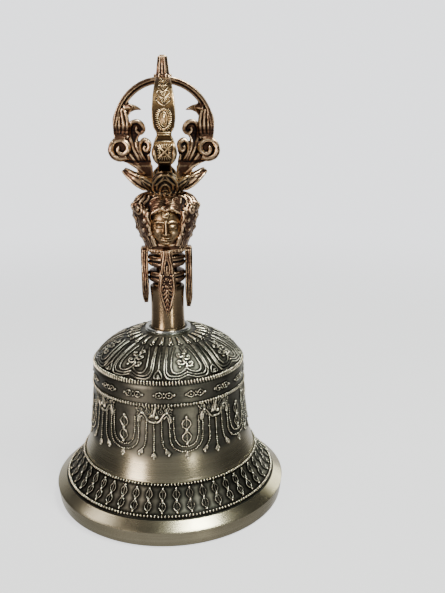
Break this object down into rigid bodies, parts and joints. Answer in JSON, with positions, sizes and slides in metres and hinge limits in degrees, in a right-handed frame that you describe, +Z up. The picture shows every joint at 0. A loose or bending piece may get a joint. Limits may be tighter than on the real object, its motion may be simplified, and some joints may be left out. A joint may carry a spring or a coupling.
{
  "type": "tibetan bell",
  "caption": "Ritual hand bell: flared bell cup with relief bands, head-and-lotus handle topped by a cage of curved prongs, and a clapper that swings freely inside.",
  "frame": {"origin": "centre of the flat ring that the rim stands on", "axes": "+Z up along the axis of the bell and its handle, -Y the way the head on the handle faces, +X to the right seen from the front"},
  "size_m": [0.09, 0.09, 0.166],
  "materials": {
    "bell_silver": "cast white bronze, satin turned bands, dark patina in the relief",
    "collar_steel": "turned and brushed",
    "ferrule_bronze": "brown brushed bronze",
    "handle_copper": "cast copper bronze, dark red-brown recesses, worn golden edges",
    "prong_gilt": "cast bronze worn to a yellow gold",
    "fixing_steel": "plain zinc-grey steel",
    "clapper_iron": "dark forged iron"
  },
  "bodies": {
    "bell": {"bell_body": "bell_silver", "crown_collar": "collar_steel", "handle_ferrule": "ferrule_bronze", "stem_core": "handle_copper", "stem_ring_lower": "handle_copper", "stem_ring_upper": "handle_copper", "necklace_ring": "handle_copper", "pendant_front": "handle_copper", "pendant_right": "handle_copper", "pendant_back": "handle_copper", "pendant_left": "handle_copper", "head": "handle_copper", "lotus_base": "handle_copper", "lotus_petal_front": "handle_copper", "lotus_petal_right": "handle_copper", "lotus_petal_back": "handle_copper", "lotus_petal_left": "handle_copper", "prong_front": "prong_gilt", "prong_right": "handle_copper", "prong_back": "prong_gilt", "prong_left": "handle_copper", "centre_prong": "handle_copper", "crown_washer": "fixing_steel", "crown_nut": "fixing_steel", "clapper_eyebolt": "clapper_iron"},
    "link": {"clapper_link": "clapper_iron"},
    "clapper": {"clapper_rod": "clapper_iron", "clapper_bob": "clapper_iron"}
  },
  "joints": [
    {"name": "link_swing", "type": "hinge", "parent": "bell", "child": "link", "pos_m": [0, 0, 0.0509], "axis": [0, 1, 0], "range_deg": [-12, 12]},
    {"name": "clapper_swing", "type": "hinge", "parent": "link", "child": "clapper", "pos_m": [0, 0, 0.0454], "axis": [1, 0, 0], "range_deg": [-39, 39]}
  ]
}
